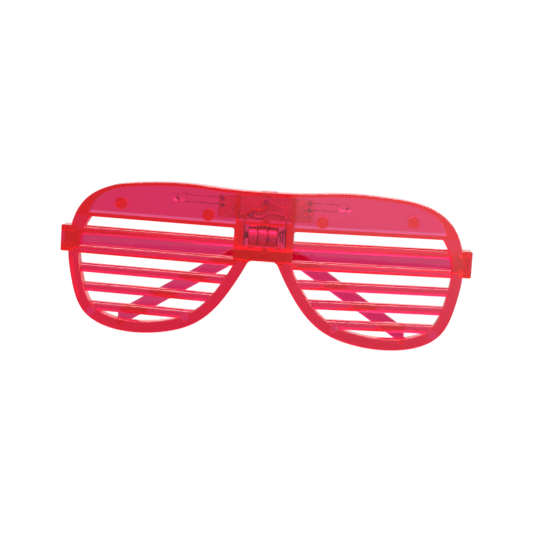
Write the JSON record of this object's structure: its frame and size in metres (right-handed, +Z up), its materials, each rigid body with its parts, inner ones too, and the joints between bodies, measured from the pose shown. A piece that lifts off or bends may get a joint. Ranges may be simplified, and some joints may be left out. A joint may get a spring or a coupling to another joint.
{
  "type": "slatted novelty glasses",
  "caption": "Light-up slatted novelty glasses: front with shutter slats, battery bay at the bridge, flasher in the brow and folding temples.",
  "frame": {"origin": "middle of the bridge's lower edge on the front face, where the glasses sit on the nose", "axes": "+Z up as worn, +Y rearwards to the wearer, +X to the viewer's right seen from the front"},
  "size_m": [0.1544, 0.0204, 0.0573],
  "materials": {
    "red_front": "moulded, clear",
    "red_cover": "moulded, clear",
    "red_temples": "moulded, clear",
    "red_button": "moulded, clear",
    "board": "paper laminate",
    "chip_resin": "potted",
    "solder": "soldered",
    "switch_case": "moulded",
    "switch_key": "moulded",
    "light_lens": "clear resin",
    "light_leads": "tinned wire",
    "cell_can": "nickel plated",
    "contact_steel": "nickel plated",
    "red_wire": "PVC insulation",
    "white_wire": "PVC insulation",
    "screw_steel": "zinc plated"
  },
  "bodies": {
    "root": {"front_frame": "red_front", "back_cover": "red_cover", "circuit_board": "board", "flasher_chip": "chip_resin", "solder_joints": "solder", "tact_switch": "switch_case", "left_led": "light_lens", "right_led": "light_lens", "left_led_leads": "light_leads", "right_led_leads": "light_leads", "button_cell_1": "cell_can", "button_cell_2": "cell_can", "button_cell_3": "cell_can", "spring_contact": "contact_steel", "plate_contact": "contact_steel", "positive_wire": "red_wire", "negative_wire": "white_wire", "battery_door": "red_cover", "battery_door_screw": "screw_steel"},
    "left_temple": {"left_temple": "red_temples"},
    "right_temple": {"right_temple": "red_temples"},
    "push_button": {"push_button": "red_button", "switch_plunger": "switch_key"}
  },
  "joints": [
    {"name": "left_temple_hinge", "type": "hinge", "parent": "root", "child": "left_temple", "pos_m": [-0.0749, 0.016, 0.0029], "axis": [0, 0, 1], "range_deg": [0, 90.2]},
    {"name": "right_temple_hinge", "type": "hinge", "parent": "root", "child": "right_temple", "pos_m": [0.0749, 0.016, 0.0029], "axis": [0, 0, -1], "range_deg": [0, 92.8]},
    {"name": "button_press", "type": "slide", "parent": "root", "child": "push_button", "axis": [0, 0, -1], "range_m": [0, 0.00035], "stiffness_N_per_m": 4500, "springref_m": -0.00005}
  ]
}
